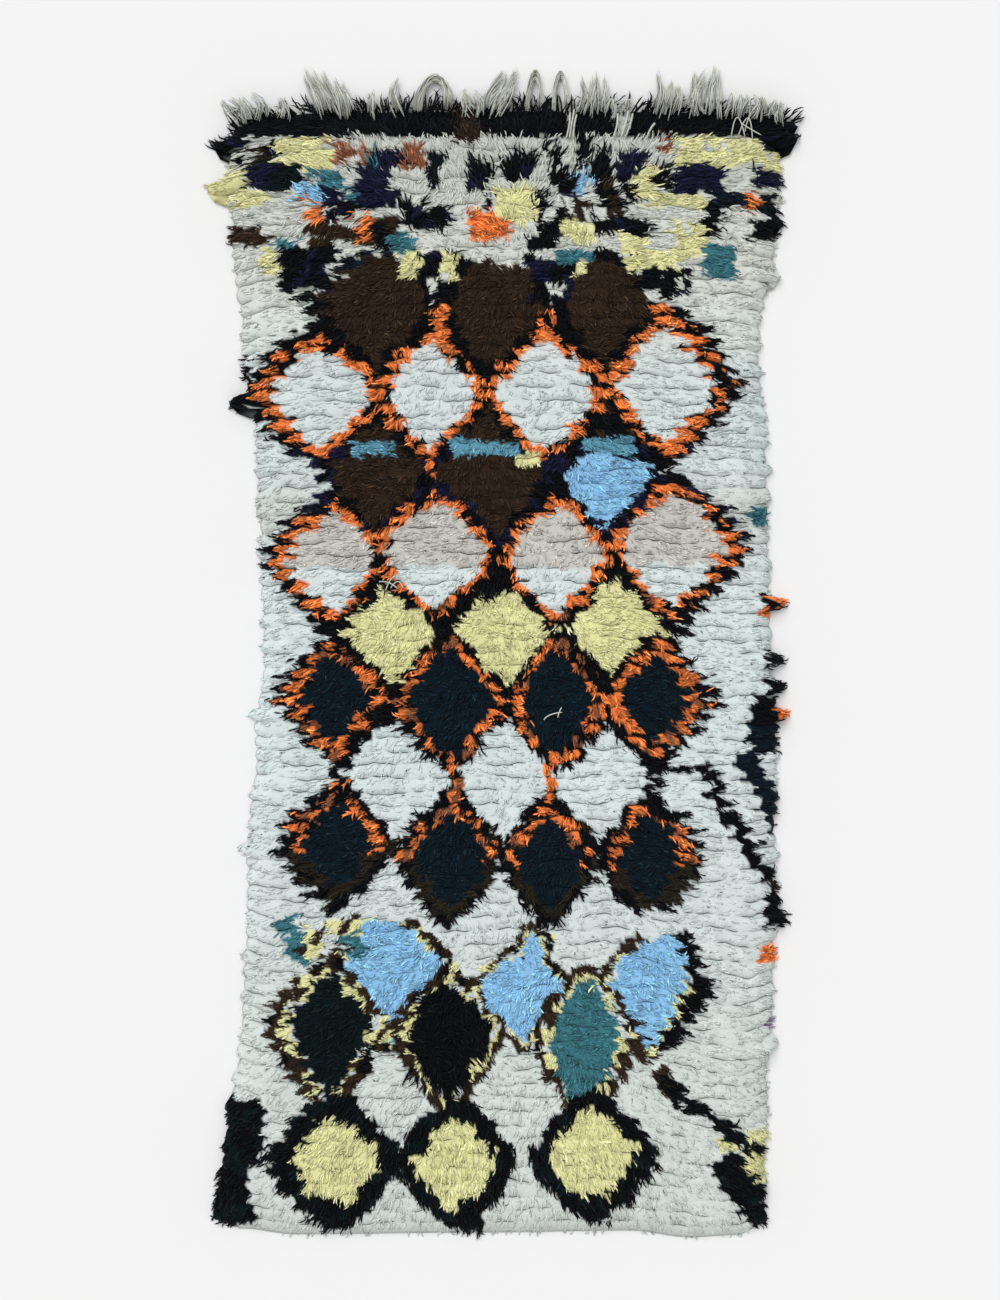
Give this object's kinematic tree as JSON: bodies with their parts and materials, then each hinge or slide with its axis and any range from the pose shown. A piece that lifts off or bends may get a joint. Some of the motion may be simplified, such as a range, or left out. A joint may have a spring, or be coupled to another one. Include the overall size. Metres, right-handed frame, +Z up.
{
  "type": "knotted shag runner rug with a warp fringe",
  "caption": "Long-pile knotted runner rug lying flat, with wool locks splaying from its rim and a warp fringe at its head.",
  "frame": {"origin": "on the floor under the middle of the whole rug, fringe and locks included", "axes": "+X across the rug to the right, +Y along its length towards the fringed head, +Z up out of the pile"},
  "size_m": [0.9496, 1.8618, 0.0332],
  "materials": {
    "pile_wool": "long matt wool pile in rows of knots",
    "warp_wool": "loosely spun grey-white wool yarn"
  },
  "bodies": {
    "root": {"shag_rug": "pile_wool", "warp_fringe": "warp_wool"}
  },
  "joints": []
}
